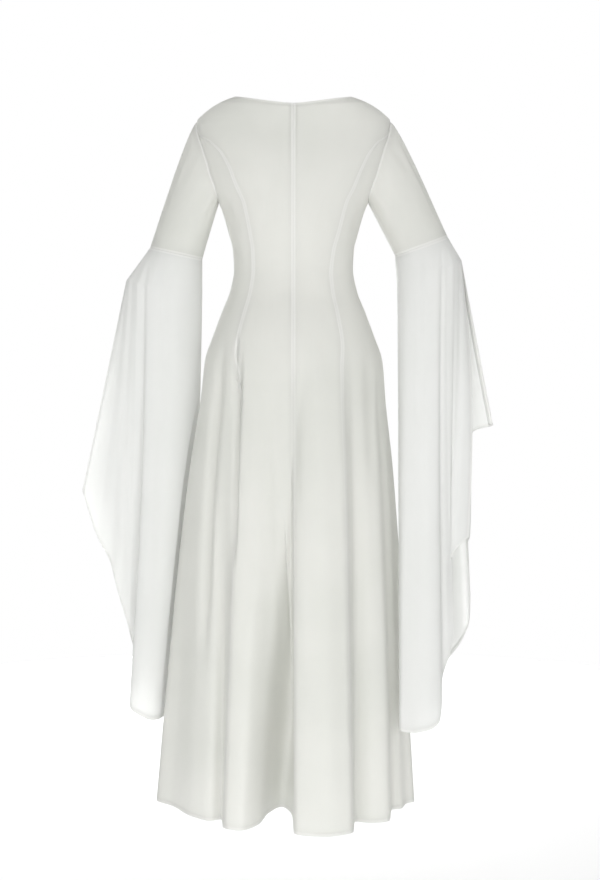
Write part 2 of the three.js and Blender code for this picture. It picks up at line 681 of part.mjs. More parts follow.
// One closed wall between the outer face and the same face moved in
function wallGeometry(piece, outer, steps) {
  const inner = outer.map((line, r) => line.map((point, c) => point.clone().sub(steps[r][c])));
  const corners = [];
  const face = (a, b, c, d) => corners.push(a, b, c, a, c, d);
  for (const [r, c, nextR, nextC] of quadsOf(piece)) {
    const places = [[r, c], [r, nextC], [nextR, nextC], [nextR, c]];
    if (piece.armholeAtStart) places.push(places.shift());
    face(...places.map(([row, column]) => outer[row][column]));
    const [a, b, d, e] = places.map(([row, column]) => inner[row][column]);
    face(a, e, d, b);
  }
  const lastRow = outer.length - 1;
  const columns = outer[0].length;
  if (piece.closed) armholeEdge(piece.sleeve, outer[0], inner[0], (a, b, c) => corners.push(a, b, c));
  for (let c = 0; c + (piece.closed ? 0 : 1) < columns; c += 1) {
    const next = (c + 1) % columns;
    if (!piece.closed) face(inner[0][c], inner[0][next], outer[0][next], outer[0][c]);
    face(inner[lastRow][next], inner[lastRow][c], outer[lastRow][c], outer[lastRow][next]);
  }
  for (let r = 0; r < lastRow && !piece.closed; r += 1) {
    const last = columns - 1;
    face(inner[r][0], outer[r][0], outer[r + 1][0], inner[r + 1][0]);
    face(inner[r][last], inner[r + 1][last], outer[r + 1][last], outer[r][last]);
  }
  return withoutFlatFaces(new THREE.BufferGeometry().setFromPoints(corners));
}

// Joins equal corners and drops the faces that have shrunk to a line at a panel's tip
function withoutFlatFaces(soup) {
  const joined = mergeVertices(soup, 1e-4);
  const index = [];
  const all = joined.index.array;
  for (let k = 0; k < all.length; k += 3) {
    const [a, b, c] = [all[k], all[k + 1], all[k + 2]];
    if (a !== b && b !== c && c !== a) index.push(a, b, c);
  }
  joined.setIndex(index);
  joined.computeVertexNormals();
  return joined;
}

function makeDress() {
  const dress = new THREE.Group();
  const pieces = makePieces();
  const shared = inwardSteps(pieces);
  for (const piece of pieces) {
    const steps = stepGrid(piece, shared);
    const outer = movedOffSeams(piece, steps);
    if (piece.closed) straightenArmhole(piece.sleeve, outer[0]);
    if (piece.name.startsWith('sleeve_drape')) partDrapeEdges(piece, outer);
    const material = new THREE.MeshStandardMaterial({ color: piece.colour, ...cloth });
    const mesh = new THREE.Mesh(wallGeometry(piece, outer, steps), material);
    mesh.name = piece.name;
    dress.add(mesh);
  }
  return dress;
}

export default makeDress();
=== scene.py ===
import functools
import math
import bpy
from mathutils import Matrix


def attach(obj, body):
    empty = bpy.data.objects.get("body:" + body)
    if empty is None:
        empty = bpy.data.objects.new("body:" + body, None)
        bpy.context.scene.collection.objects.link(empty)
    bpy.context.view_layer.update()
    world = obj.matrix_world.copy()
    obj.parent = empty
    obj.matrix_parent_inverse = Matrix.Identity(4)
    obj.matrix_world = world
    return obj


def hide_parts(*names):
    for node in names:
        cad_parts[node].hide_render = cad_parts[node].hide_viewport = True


bl_info = {
    "name": "Medieval wedding dress",
    "version": (1, 0, 0),
    "blender": (4, 5, 0),
    "location": "3D View > Sidebar > Dress",
    "description": "Sews the cloth pieces of a long gown with split drape sleeves and sets up its studio",
    "category": "Add Mesh",
}

from collections import namedtuple

import bpy
import numpy as np
from mathutils import Vector

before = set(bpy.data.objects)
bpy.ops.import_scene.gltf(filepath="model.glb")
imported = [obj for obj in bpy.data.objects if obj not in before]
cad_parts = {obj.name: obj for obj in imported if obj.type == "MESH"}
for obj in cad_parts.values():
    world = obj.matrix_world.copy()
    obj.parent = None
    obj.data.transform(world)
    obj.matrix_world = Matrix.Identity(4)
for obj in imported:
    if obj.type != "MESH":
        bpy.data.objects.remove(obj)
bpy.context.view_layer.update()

# Sizes of the dress in millimetres, as in the part's source
NECK_END = 16
CORNER = -33
HEM = -1390
NECK_SHARE = 0.75
NECK_CURVE = 1.4
SQUARENESS = 0.03
FOLD_GROWTH = 0.8
HIP = -465
ONSET = 0.09
CAP_RISE = 5
SPLIT_ROW = 2
UNDERARM_ROW = 7

# How far the drapes keep from the skirt, from which height and over which drop that begins, and the top,
# the depth to front and back and the distance of columns in the table of the skirt's reach
DRAPE_CLEARANCE = 6
CLEAR_FROM = -280
CLEAR_DROP = 60
REACH_TOP = -205
REACH_DEPTH = 240
REACH_STEP = 4

Section = namedtuple("Section", "z half back front")
SECTIONS = [Section(*row) for row in (
    (16, 118, 50, 42), (8, 140, 58, 50), (-2, 159, 64, 57), (-18, 180, 74, 66), (-33, 193, 82, 74),
    (-63, 193, 94, 86), (-100, 190, 103, 98), (-140, 180, 107, 112), (-170, 166, 106, 122),
    (-196, 149, 103, 128), (-226, 138, 98, 130), (-258, 129, 91, 120), (-290, 121, 83, 106),
    (-330, 119, 76, 94), (-370, 126, 81, 95), (-414, 143, 98, 103), (-462, 161, 117, 111),
    (-510, 177, 128, 118), (-582, 184, 134, 124), (-726, 203, 138, 132), (-998, 228, 140, 145),
    (-1390, 257, 140, 160),
)]

# Heights of each row of the panels at the seam lines, and the share of the neck's corner the row still has
Row = namedtuple("Row", "back princess front corner")
ROWS = [Row(*row) for row in (
    (-2, -33, -24, 1), (-24, -48, -46, 0.5), (-50, -63, -70, 0.2), (-78, -76, -95, 0.06),
    (-108, -98, -122, 0), (-140, -128, -150, 0), (-172, -162, -178, 0), (-205, -200, -208, 0),
)] + [Row(z, z, z, 0) for z in (
    -240, -280, -325, -370, -415, -465, -510, -560, -640, -770, -950, -1160, HEM,
)]
LAST_ROW = len(ROWS) - 1

# The armhole, one row for each panel row: turns from the centre line behind and in front in degrees, and
# the turn round the elbow that the sleeve's thread from there runs to
Hole = namedtuple("Hole", "z back front elbow")
ARMHOLE = [Hole(*row) for row in (
    (CORNER, 90, 90, 0), (-48, 82, 81, 14), (-63, 75.5, 73, 32), (-92, 66.5, 63.5, 60),
    (-125, 63.5, 59, 90), (-158, 64, 61, 120), (-184, 71, 69, 148), (-196, 90, 90, 180),
)]

# Turns of the princess seams from the centre line in degrees, by height
BACK_PRINCESS_LEFT = (
    (-63, 75.5), (-76, 57), (-104, 45.5), (-142, 40.5), (-190, 39.5), (-330, 40), (-460, 41), (-520, 37.5),
    (-600, 35), (-900, 36), (HEM, 38.5),
)
BACK_PRINCESS_RIGHT = (
    (-63, 75.5), (-78, 58), (-112, 48), (-154, 44), (-240, 42.5), (-330, 37.5), (-460, 35), (-520, 31.5),
    (HEM, 31.5),
)
FRONT_PRINCESS = (
    (-63, 73), (-78, 57), (-110, 46), (-160, 39), (-230, 36), (-330, 38), (-460, 40), (HEM, 41),
)

# The hem line round from the centre back by the wearer's left: each ridge, hollow and edge of the flutes,
# with the height that it grows from, and how many rows of the table further round the line of the hem is
# whose folds hang there at the hips
Fold = namedtuple("Fold", "name x y start lean")
FOLDS = [Fold(*row) for row in (
    ("centre back", -2, 203, -660, 0), ("recess side", 3, 98, -820, 4.2), ("recess", 24, 44, -860, 3.7),
    ("flute edge", 50, 88, -800, 2.8), ("flute rise", 66, 150, -760, 1.85),
    ("left flute", 100, 188, -640, 0.9),
    ("left princess", 133, 170, -475, 0), ("fold behind it", 140, 120, -760, 1.0),
    ("shaded flute", 160, 131, -700, 1.6), ("shaded fall", 199, 101, -640, 1.5),
    ("side hollow", 238, 40, -560, 0.7), ("left side", 274, 0, -520, 0),
    ("left front ridge", 250, -46, -540, 0), ("left front hollow", 206, -68, -560, 0),
    ("left front flute", 190, -134, -520, 0), ("left front rise", 152, -156, -520, 0),
    ("front left princess", 122, -116, -560, 0), ("front left flute", 106, -166, -540, 0),
    ("front left ridge", 70, -206, -500, 0), ("front left hollow", 34, -186, -520, 0),
    ("centre front", 2, -166, -560, 0), ("front right hollow", -32, -184, -520, 0),
    ("front right ridge", -72, -210, -490, 0), ("front right flute", -104, -168, -540, 0),
    ("front right princess", -120, -114, -560, 0), ("right front rise", -148, -152, -520, 0),
    ("right front flute", -186, -138, -520, 0), ("right front hollow", -202, -76, -560, 0),
    ("right front ridge", -228, -44, -540, 0), ("right side", -241, 6, -520, 0),
    ("side step", -224, 24, -560, 0),
    ("narrow flute", -212, 55, -520, 0), ("narrow hollow", -194, 62, -520, 0),
    ("right flute edge", -185, 130, -550, 0),
    ("right flute", -151, 143, -500, 0), ("fold behind the edge", -119, 134, -470, 0),
    ("right princess", -113, 196, -465, 0), ("middle flute edge", -94, 212, -465, 0),
    ("middle flute", -62, 223, -470, 0), ("middle flute side", -27, 219, -520, 0),
)]

# Rings of a sleeve: its middle, half its width, the slope of that width in degrees and half its depth
Ring = namedtuple("Ring", "x y z half slope depth")
Sleeve = namedtuple("Sleeve", "side sign elbow opening")
SLEEVES = (
    Sleeve("left", 1, Ring(235.5, -15, -296.5, 53.7, 12.4, 46), Ring(260, -20, -368, 78, 12, 50)),
    Sleeve("right", -1, Ring(254, 24, -283, 55.4, 20, 46), Ring(268.5, 32, -331, 67.2, 16.5, 50)),
)

# The lower edge of each drape, from the back edge of its split round by the body to the front edge: turns
# round the elbow and the opening, where the edge hangs, and how far the thread to it bows out
Edge = namedtuple("Edge", "name elbow opening x y z bow")
LEFT_DRAPE = [Edge(*row) for row in (
    ("back corner", 2, 0, 421, 10, -770, 0), ("back edge", 8, 14, 393, 17, -856, 0),
    ("back rise", 13, 28, 365, 14, -912, 0), ("back fall", 18, 40, 347, 5, -984, 0),
    ("back fold", 23, 50, 330, -8, -1052, 0), ("groove", 29, 60, 316, -12, -1120, -4),
    ("flute edge", 37, 70, 327, 10, -1197, -4), ("flute", 70, 88, 305, 20, -1216, -2),
    ("flute middle", 104, 110, 282, 12, -1227, -6), ("flute turn", 140, 140, 262, -12, -1229, -12),
    ("inner fold", 175, 176, 250, -40, -1226, -18), ("inner front", 205, 205, 266, -58, -1212, -10),
    ("front hollow", 235, 235, 292, -54, -1170, 0), ("front flute", 262, 262, 322, -76, -1100, 0),
    ("front dip", 290, 290, 344, -60, -1010, 0), ("front rise", 315, 315, 366, -68, -910, 0),
    ("front edge", 336, 338, 384, -52, -820, 0), ("front corner", 358, 360, 398, -44, -742, 0),
)]
RIGHT_DRAPE = [Edge(*row) for row in (
    ("back corner", 2, 0, 345, 54, -856, 14), ("back edge", 10, 16, 314, 64, -886, 10),
    ("back rise", 19, 30, 299, 58, -936, 6), ("back fall", 28, 44, 306, 48, -992, 0),
    ("back fold", 37, 56, 316, 56, -1048, -4), ("groove", 46, 68, 298, 68, -1120, -4),
    ("flute edge", 60, 82, 285, 88, -1212, -2), ("flute", 84, 100, 258, 98, -1226, 0),
    ("flute middle", 112, 118, 230, 98, -1230, 0), ("flute turn", 145, 145, 206, 90, -1226, 0),
    ("inner fold", 172, 172, 206, 70, -1222, 0), ("inner front", 195, 195, 230, 58, -1210, 0),
    ("front hollow", 220, 220, 256, 30, -1184, 0), ("front turn", 245, 245, 284, 2, -1150, 0),
    ("front flute", 268, 268, 312, -14, -1110, 4), ("front dip", 290, 290, 344, -4, -1056, 6),
    ("front fall", 308, 308, 355, -22, -980, 6), ("front rise", 324, 324, 351, -8, -868, 6),
    ("front edge", 341, 342, 358, -22, -660, 4), ("front corner", 358, 360, 401, -18, -642, 0),
)]
DRAPES = {"left": LEFT_DRAPE, "right": RIGHT_DRAPE}


def mix(a, b, t):
    return a + (b - a) * t


class Curve:
    """A smooth line through the values of a table's rows, level at every ridge and hollow."""

    def __init__(self, places, values):
        order = np.argsort(places)
        self.places = np.asarray(places, float)[order]
        self.values = np.asarray(values, float)[order]
        steps = np.diff(self.values) / np.diff(self.places)
        slopes = np.empty(len(self.places))
        slopes[0], slopes[-1] = steps[0], steps[-1]
        product = steps[:-1] * steps[1:]
        total = np.where(product > 0, steps[:-1] + steps[1:], 1)
        slopes[1:-1] = np.where(product > 0, 2 * product / total, 0)
        self.slopes = slopes

    def __call__(self, place):
        i = np.clip(np.searchsorted(self.places, place, "right") - 1, 0, len(self.places) - 2)
        width = self.places[i + 1] - self.places[i]
        t = np.clip((place - self.places[i]) / width, 0, 1)
        bend = t * t * (3 - 2 * t)
        lean = t * (1 - t) ** 2 * self.slopes[i] - t * t * (1 - t) * self.slopes[i + 1]
        return mix(self.values[i], self.values[i + 1], bend) + width * lean


def curves(table, places=None):
    """A curve for each number column of a table, over the places or the rows' own order."""
    places = range(len(table)) if places is None else places
    return {
        column: Curve(places, [getattr(row, column) for row in table])
        for column in table[0]._fields if not isinstance(getattr(table[0], column), str)
    }


section = curves(SECTIONS, [row.z for row in SECTIONS])
row_line = curves(ROWS)
hole_line = curves(ARMHOLE)
hem_line = curves(FOLDS[-2:] + FOLDS + FOLDS[:3], range(-2, len(FOLDS) + 3))
princess_line = {
    name: Curve([z for z, turn in table], [turn for z, turn in table])
    for name, table in (
        ("back left", BACK_PRINCESS_LEFT), ("back right", BACK_PRINCESS_RIGHT), ("front", FRONT_PRINCESS),
    )
}
drape_line = {side: curves(table) for side, table in DRAPES.items()}


def plain_point(half, turn, z):
    """Points of the dress without folds, turned from the centre back or centre front line."""
    angle = np.radians(turn)
    swell = 1 + SQUARENESS * np.sin(2 * angle) ** 2
    outwards = 1 if half.face == "back" else -1
    x = half.sign * section["half"](z) * swell * np.sin(angle)
    y = outwards * section[half.face](z) * swell * np.cos(angle)
    return np.stack([x, y, np.broadcast_to(z, x.shape)], axis=-1)


# A half of a panel, from its line at the centre outwards, with the places of its hem in the table of folds
Half = namedtuple("Half", "kind face sign seam inner outer")


def fold_place(name):
    return next(place for place, fold in enumerate(FOLDS) if fold.name == name)


def half_panel(kind, face, sign, inner, outer):
    side = {1: " left", -1: " right"}[sign]
    seam = "back" + side if face == "back" else "front"
    start = len(FOLDS) if inner == "centre back" and sign < 0 else fold_place(inner)
    return Half(kind, face, sign, seam, start, fold_place(outer))


HALVES = {
    "back left": half_panel("middle", "back", 1, "centre back", "left princess"),
    "side back left": half_panel("side", "back", 1, "left princess", "left side"),
    "side front left": half_panel("side", "front", 1, "front left princess", "left side"),
    "front left": half_panel("middle", "front", 1, "centre front", "front left princess"),
    "front right": half_panel("middle", "front", -1, "centre front", "front right princess"),
    "side front right": half_panel("side", "front", -1, "front right princess", "right side"),
    "side back right": half_panel("side", "back", -1, "right princess", "right side"),
    "back right": half_panel("middle", "back", -1, "centre back", "right princess"),
}


def middle_place(half, share, row):
    """Turn and height of a middle panel at a share of its width, from the centre line outwards."""
    start = row_line[half.face](row)
    corner = row_line["corner"](row)
    on_hole = row <= SPLIT_ROW
    z = np.where(on_hole, hole_line["z"](row), row_line["princess"](row))
    turn = np.where(on_hole, hole_line[half.face](row), princess_line[half.seam](z))
    neck_start = getattr(ROWS[0], half.face)
    reach = np.sin(np.radians(90 * np.minimum(share / NECK_SHARE, 1)))
    down = np.maximum(0, (share - NECK_SHARE) / (1 - NECK_SHARE))
    neck_edge = mix(neck_start, NECK_END, reach ** NECK_CURVE)
    neck_turn = np.degrees(np.arcsin(np.minimum(1, reach * SECTIONS[0].half / section["half"](neck_edge))))
    neck_z = mix(neck_edge, CORNER, down)
    return (
        turn * share + corner * (neck_turn - 90 * share),
        mix(start, z, share) + corner * (neck_z - mix(neck_start, CORNER, share)),
    )


def side_place(half, share, row):
    """Turn and height of a side panel at a share of its width, from the princess seam outwards."""
    inner_z = np.where(row <= SPLIT_ROW, ARMHOLE[SPLIT_ROW].z, row_line["princess"](row))
    inner_turn = princess_line[half.seam](inner_z)
    on_hole = row <= UNDERARM_ROW
    outer_z = np.where(on_hole, hole_line["z"](row), row_line["princess"](row))
    outer_turn = np.where(on_hole, hole_line[half.face](row), 90)
    return mix(inner_turn, outer_turn, share), mix(inner_z, outer_z, share)


PLACES = {"middle": middle_place, "side": side_place}


def panel_point(half, share, row):
    """Points of a half panel: the plain dress, moved to its flutes below the hips."""
    share, row = np.broadcast_arrays(np.asarray(share, float), np.asarray(row, float))
    place = PLACES[half.kind]
    turn, z = place(half, share, row)
    point = plain_point(half, turn, z)
    across = mix(half.inner, half.outer, share)
    around = across + hem_line["lean"](across) * np.clip((z - HEM) / (HIP - HEM), 0, 1)
    start = hem_line["start"](around)
    hem_share = (around - half.inner) / (half.outer - half.inner)
    hem_turn = place(half, hem_share, np.full_like(row, LAST_ROW))[0]
    plain_hem = plain_point(half, hem_turn, np.full_like(row, HEM))
    rise = np.clip((start - z) / (start - HEM), 0, 1)
    growth = rise ** FOLD_GROWTH * (1 - np.exp(-rise / ONSET))
    point[..., 0] += growth * (hem_line["x"](around) - plain_hem[..., 0])
    point[..., 1] += growth * (hem_line["y"](around) - plain_hem[..., 1])
    return point


def ring_point(sleeve, ring, turn):
    angle = np.radians(turn)
    slope = math.radians(ring.slope)
    across = ring.half * np.cos(angle)
    return np.stack([
        sleeve.sign * (ring.x + across * math.cos(slope)),
        ring.y + ring.depth * np.sin(angle),
        ring.z + across * math.sin(slope),
    ], axis=-1)


def armhole_point(sleeve, place):
    """Points of the armhole and their turns round the elbow, at places from -7 in front to 7 behind."""
    row = np.abs(place)
    z = hole_line["z"](row)
    behind = plain_point(Half("side", "back", sleeve.sign, "", 0, 0), hole_line["back"](row), z)
    before = plain_point(Half("side", "front", sleeve.sign, "", 0, 0), hole_line["front"](row), z)
    elbow = hole_line["elbow"](row) * np.where(place < 0, -1, 1)
    return np.where((place < 0)[..., None], before, behind), elbow


def hole_place(share):
    """Place round the armhole at a share of the sleeve's width, from the underarm in front to it behind."""
    return -UNDERARM_ROW + 2 * UNDERARM_ROW * share


def upper_sleeve_point(sleeve, place, step):
    """Points of a fitted sleeve, from the armhole at step 0 to the elbow at step 1."""
    place, step = np.broadcast_arrays(np.asarray(place, float), np.asarray(step, float))
    top, turn = armhole_point(sleeve, place)
    end = ring_point(sleeve, sleeve.elbow, turn)
    rise = CAP_RISE * np.sin(math.pi * np.sqrt(step)) * np.cos(np.radians(turn / 2)) ** 4
    point = mix(top, end, step[..., None])
    point[..., 0] += sleeve.sign * rise
    point[..., 2] += rise
    return point


@functools.cache
def reach_table(sign):
    """How far the skirt reaches to one side, for a row of heights and a column of depths."""
    heights = np.linspace(HEM, REACH_TOP, 90)
    rows = np.interp(-heights, [-r.princess for r in ROWS], range(len(ROWS)))
    reach = np.zeros((len(heights), 2 * REACH_DEPTH // REACH_STEP + 1))
    index = np.arange(len(reach))
    shares = np.linspace(0, 1, 60)
    for half in HALVES.values():
        if half.sign != sign:
            continue
        line = panel_point(half, shares[None, :], rows[:, None])
        for k in range(len(shares) - 1):
            a, b = line[:, k], line[:, k + 1]
            for part in np.linspace(0, 1, 4):
                spot = mix(a, b, part)
                column = np.round((spot[:, 1] + REACH_DEPTH) / REACH_STEP).astype(int)
                column = np.clip(column, 0, reach.shape[1] - 1)
                reach[index, column] = np.maximum(reach[index, column], sign * spot[:, 0])
    for _ in range(2):
        shifted = np.maximum(np.roll(reach, 1, 1), np.roll(reach, -1, 1))
        reach = np.maximum(reach, np.where(reach == 0, shifted, reach))
    return reach


def skirt_reach(sign, y, z):
    """How far the skirt reaches to one side at a depth and a height, read between the table's values."""
    reach = reach_table(sign)
    last_row, last_column = np.array(reach.shape) - 1
    i = np.clip((z - HEM) / (REACH_TOP - HEM) * last_row, 0, last_row - 0.001)
    j = np.clip((y + REACH_DEPTH) / REACH_STEP, 0, last_column - 0.001)
    i0, j0 = i.astype(int), j.astype(int)
    di, dj = i - i0, j - j0
    low = mix(reach[i0, j0], reach[i0, j0 + 1], dj)
    high = mix(reach[i0 + 1, j0], reach[i0 + 1, j0 + 1], dj)
    return mix(low, high, di)


def drape_point(sleeve, place, step):
    """Points of a drape: closed below the elbow to step 0, then threads that hang to the edge at step 1."""
    place, step = np.broadcast_arrays(np.asarray(place, float), np.asarray(step, float))
    line = {column: curve(place) for column, curve in drape_line[sleeve.side].items()}
    first, last = DRAPES[sleeve.side][0].elbow, DRAPES[sleeve.side][-1].elbow
    top = ring_point(sleeve, sleeve.elbow, (line["elbow"] - first) * 360 / (last - first))
    opening = ring_point(sleeve, sleeve.opening, line["opening"])
    end = np.stack([sleeve.sign * line["x"], line["y"], line["z"]], axis=-1)
    closed = mix(top, opening, np.clip(step + 1, 0, 1)[..., None])
    hanging = mix(opening, end, np.clip(step, 0, 1)[..., None])
    hanging[..., 0] += sleeve.sign * line["bow"] * np.sin(math.pi * np.clip(step, 0, 1))
    reach = skirt_reach(sleeve.sign, hanging[..., 1], hanging[..., 2])
    below = np.clip((CLEAR_FROM - hanging[..., 2]) / CLEAR_DROP, 0, 1)
    out = sleeve.sign * hanging[..., 0]
    hanging[..., 0] = sleeve.sign * mix(out, np.maximum(out, reach + DRAPE_CLEARANCE), below)
    return np.where((step > 0)[..., None], hanging, closed)


# Long soft creases and small drag lines of the panels: where each starts and ends on its face of the dress
# (across, height), its bow to one side, how wide and how deep it is. A negative depth is a ridge
Crease = namedtuple("Crease", "name face x z end_x end_z bow width depth")
CREASES = [Crease(*row) for row in (
    ("slit at the left princess seam", "back", 110, -446, 114, -610, 0, 3.5, 8.0),
    ("slit beside it", "back", 100, -462, 116, -920, 3, 5, 15.5),
    ("left hip valley", "back", 134, -440, 176, -1120, 10, 10, 15.0),
    ("beside the centre back", "back", -4, -462, -7, -800, 0, 7, 2.0),
    ("right flute's shade", "back", -146, -470, -154, -760, 0, 12, 4.0),
    ("left of the centre", "back", 8, -130, 60, -205, 8, 11, 1.0),
    ("left of the centre below", "back", 6, -190, 66, -262, 8, 12, 0.9),
    ("waist left", "back", 10, -262, 82, -300, 6, 10, 0.8),
    ("waist left below", "back", 8, -310, 84, -342, 5, 10, 0.7),
    ("waist right", "back", -8, -250, -78, -300, -6, 11, 0.7),
    ("waist right below", "back", -10, -300, -84, -345, -5, 10, 0.7),
    ("underarm left", "back", 136, -190, 104, -258, 4, 8, 1.8),
    ("underarm left low", "back", 138, -214, 98, -300, 6, 8, 1.5),
    ("underarm left high", "back", 142, -176, 118, -226, 4, 7, 1.2),
    ("underarm right", "back", -136, -190, -110, -262, -4, 8, 1.4),
    ("underarm right low", "back", -130, -222, -100, -300, -6, 8, 1.2),
    ("side waist left", "back", 118, -296, 88, -352, 5, 9, 1.2),
    ("side waist right", "back", -118, -296, -90, -350, -5, 9, 1.0),
    ("shoulder blade left", "back", 166, -96, 92, -136, -10, 18, 1.4),
    ("shoulder blade right", "back", -166, -96, -96, -140, 10, 18, 1.2),
    ("under the neck left", "back", 96, -26, 20, -58, 8, 13, 0.8),
    ("under the neck right", "back", -96, -26, -22, -60, -8, 13, 0.8),
    ("bust left", "front", 128, -176, 60, -212, 8, 12, 1.4),
    ("bust right", "front", -128, -176, -62, -214, -8, 12, 1.4),
    ("waist front left", "front", 92, -262, 14, -312, 6, 12, 1.0),
    ("waist front right", "front", -92, -266, -12, -306, -6, 12, 1.0),
    ("underarm front left", "front", 136, -188, 102, -256, 4, 8, 1.6),
    ("underarm front right", "front", -136, -190, -104, -262, -4, 8, 1.5),
    ("lap left", "front", 104, -420, 30, -452, 8, 14, 1.2),
    ("lap right", "front", -104, -424, -34, -458, -8, 14, 1.2),
    ("chest", "front", 70, -70, -66, -76, 14, 14, 0.9),
)]

# Ripples of the sleeves: place round the sleeve, share of its length where each starts and ends, width and
# depth in millimetres, and how far its place wanders
Ripple = namedtuple("Ripple", "name side place start end width depth drift")
SLEEVE_RIPPLES = [Ripple(*row) for row in (
    ("outer crease", "right", 0.9, 0.08, 0.98, 0.34, 1.6, 0.5),
    ("outer ridge", "right", 1.7, 0.05, 0.8, 0.4, -1.2, 0.3),
    ("cap crease", "right", 2.6, 0.02, 0.4, 0.3, 1.4, -0.4),
    ("underarm drag", "right", 5.2, 0.04, 0.5, 0.35, 1.8, -0.9),
    ("underarm fold", "right", 6.2, 0.02, 0.42, 0.3, 2.0, -0.7),
    ("front drag", "right", -4.8, 0.05, 0.6, 0.4, 1.6, 0.8),
    ("front crease", "right", -2.2, 0.04, 0.8, 0.4, 1.2, 0.4),
    ("outer crease", "left", 1.2, 0.05, 0.9, 0.34, 1.2, 0.4),
    ("cap crease", "left", 2.8, 0.02, 0.45, 0.3, 1.4, -0.4),
    ("underarm drag", "left", 5.0, 0.03, 0.55, 0.34, 1.9, -0.9),
    ("underarm fold", "left", 6.1, 0.02, 0.45, 0.3, 2.0, -0.7),
    ("elbow pull", "left", 4.0, 0.55, 1.0, 0.35, 1.2, 0.6),
    ("front drag", "left", -4.9, 0.05, 0.6, 0.4, 1.6, 0.8),
    ("front crease", "left", -2.0, 0.04, 0.8, 0.4, 1.2, 0.4),
)]
DRAPE_RIPPLES = [Ripple(*row) for row in (
    ("edge groove", "left", 5.1, -0.7, 1.0, 0.3, 5.0, 0.0),
    ("edge groove", "right", 5.1, -0.7, 1.0, 0.3, 5.0, 0.0),
    ("back hollow", "left", 2.6, -0.4, 1.0, 0.5, 4.0, 0.0),
    ("back fold", "left", 3.9, -0.7, 1.0, 0.4, -3.0, 0.1),
    ("shallow fold", "left", 1.3, -0.1, 1.0, 0.4, 3.0, -0.2),
    ("flute hollow", "left", 6.9, -0.8, 0.7, 0.4, 2.0, 0.2),
    ("flute crease", "left", 7.8, -0.6, 0.9, 0.3, 1.6, -0.3),
    ("inner hollow", "left", 9.2, -0.6, 1.0, 0.5, 2.4, 0.0),
    ("front hollow", "left", 11.4, -0.5, 1.0, 0.5, 4.0, 0.0),
    ("front fold", "left", 13.2, -0.4, 1.0, 0.5, 4.0, 0.1),
    ("front crease", "left", 15.2, -0.2, 1.0, 0.4, 3.0, -0.1),
    ("back hollow", "right", 1.4, -0.5, 1.0, 0.5, 3.0, 0.0),
    ("back fold", "right", 3.2, -0.6, 1.0, 0.4, -2.6, 0.1),
    ("shallow fold", "right", 4.3, -0.4, 1.0, 0.35, 2.6, 0.0),
    ("flute hollow", "right", 7.4, -0.9, 0.8, 0.4, 1.8, 0.2),
    ("flute crease", "right", 8.3, -0.5, 1.0, 0.3, 1.6, -0.2),
    ("inner hollow", "right", 10.2, -0.6, 1.0, 0.5, 2.4, 0.0),
    ("front hollow", "right", 12.6, -0.5, 1.0, 0.5, 4.0, 0.0),
    ("front fold", "right", 15.0, -0.4, 1.0, 0.5, 4.0, 0.1),
    ("front crease", "right", 17.4, -0.3, 1.0, 0.5, 3.4, 0.0),
)]


def soft_ends(t, start=0.0, end=1.0, share=0.28):
    """1 along a crease, falling softly to 0 at both of its ends."""
    t = (t - start) / (end - start)
    rise = np.clip(np.minimum(t, 1 - t) / share, 0, 1)
    return rise * rise * (3 - 2 * rise)


def crease_depth(point, face):
    """How far the creases of one face push the cloth in, in millimetres."""
    depth = np.zeros(point.shape[:-1])
    for crease in CREASES:
        if crease.face != face:
            continue
        run = np.array([crease.end_x - crease.x, crease.end_z - crease.z], float)
        length = np.hypot(*run)
        run /= length
        dx, dz = point[..., 0] - crease.x, point[..., 2] - crease.z
        t = (dx * run[0] + dz * run[1]) / length
        across = dx * -run[1] + dz * run[0] - crease.bow * np.sin(math.pi * np.clip(t, 0, 1))
        depth += crease.depth * np.exp(-(across / crease.width) ** 2) * soft_ends(t)
    return depth


def ripple_depth(ripples, side, place, step):
    depth = np.zeros(np.broadcast(place, step).shape)
    for ripple in ripples:
        if ripple.side != side:
            continue
        t = (step - ripple.start) / (ripple.end - ripple.start)
        middle = ripple.place + ripple.drift * np.clip(t, 0, 1)
        fade = soft_ends(t) if ripple.end < 1 else np.clip(t, 0, 1) ** 0.7
        depth = depth + ripple.depth * np.exp(-((place - middle) / ripple.width) ** 2) * fade
    return depth


def slow_waves(point, size, height):
    """Soft unevenness of hanging cloth, a sum of waves of one size that run mostly downwards."""
    x, y, z = (point[..., k] / size for k in range(3))
    wave = np.sin(6.1 * x + 1.3 * np.sin(1.9 * z) + 0.7) + 0.6 * np.sin(4.3 * y - 1.1 * z + 2.1)
    wave = wave + 0.5 * np.sin(9.7 * x - 3.1 * y + 0.8 * z + 4.0)
    return height * wave / 2.1


# Where the turned-in cloth of an edge lies, in millimetres from the edge, and where the columns near it are
TURNED = (0.9, 3, 6, 9)
EDGE_PLACES = [-turned for turned in reversed(TURNED)] + [0, 0.3, 0.8, 1.5, 2.5, 4, 6, 9]

# How far an edge rolls in and over which width, how far behind it the turned-in cloth lies, the width under
# which a piece's edges narrow with it, and distances that count as far from any edge
ROLL = 0.12
ROLL_WIDTH = 2.0
LAYER = 0.9
NARROW = 70
FAR = 99
UNMARKED = 200.0

# How many places of a row are measured, how far from a place the points that give its normal are, as shares
# of the piece's width and length, and the size under which a normal is taken from the next row
MEASURED_PLACES = 481
WIDTH_PROBE = 2e-3
LENGTH_PROBE = 1e-3
TINY = 1e-9

# Size of the cloth's slow waves and their height on the body and on the drapes, in millimetres
WAVE_SIZE = 150
BODY_WAVE = 0.5
DRAPE_WAVE = 0.8


def path_length(steps, axis):
    """Length run so far along a grid's lines, from its steps between neighbouring points."""
    run = np.cumsum(np.linalg.norm(steps, axis=2), axis)
    return np.concatenate([np.zeros_like(run.take([0], axis)), run], axis)


